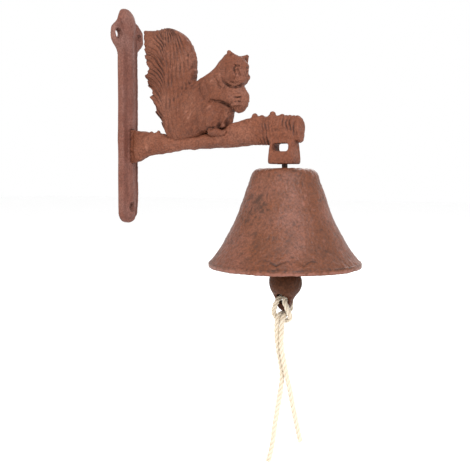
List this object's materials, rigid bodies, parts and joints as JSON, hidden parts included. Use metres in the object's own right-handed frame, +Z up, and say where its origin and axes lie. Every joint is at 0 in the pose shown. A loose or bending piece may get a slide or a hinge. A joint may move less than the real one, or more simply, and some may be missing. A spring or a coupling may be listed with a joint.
{
  "type": "wall mounted bell",
  "caption": "Cast iron wall bell hung from a branch bracket with a seated squirrel, with a clapper and a hitched pull cord.",
  "frame": {"origin": "on the wall plane, midway between the two upper screw holes", "axes": "+X away from the wall along the branch, +Z up, +Y completes the right-handed frame and is to the left when facing the wall"},
  "size_m": [0.191, 0.105, 0.3285],
  "materials": {
    "plate_iron": "rust brown, rough cast",
    "branch_iron": "rust brown, rough cast bark",
    "squirrel_iron": "rust brown, cast fur grooves",
    "bell_iron": "rust brown, slightly smoother than the bracket",
    "clapper_iron": "dark rusted iron",
    "hanger_steel": "dull, rust stained steel wire",
    "cotton_cord": "twisted undyed cotton"
  },
  "bodies": {
    "bracket": {"wall_plate": "plate_iron", "branch": "branch_iron", "squirrel": "squirrel_iron"},
    "hanger": {"hanger_rod": "hanger_steel", "crown_washer": "hanger_steel"},
    "bell": {"bell": "bell_iron"},
    "link": {"clapper_link": "hanger_steel"},
    "clapper": {"clapper": "clapper_iron", "cord_left": "cotton_cord", "cord_right": "cotton_cord"}
  },
  "joints": [
    {"name": "hanger_rock", "type": "hinge", "parent": "bracket", "child": "hanger", "pos_m": [0.1385, 0, -0.0955], "axis": [0, 1, 0], "range_deg": [-4, 4]},
    {"name": "bell_turn", "type": "hinge", "parent": "hanger", "child": "bell", "pos_m": [0.1385, 0, -0.1038], "axis": [0, 0, 1], "continuous": true},
    {"name": "link_swing", "type": "hinge", "parent": "hanger", "child": "link", "pos_m": [0.1385, 0, -0.11725], "axis": [0, 1, 0], "range_deg": [-32, 32]},
    {"name": "clapper_swing", "type": "hinge", "parent": "link", "child": "clapper", "pos_m": [0.1385, 0, -0.1262], "axis": [1, 0, 0], "range_deg": [-8, 8]}
  ]
}
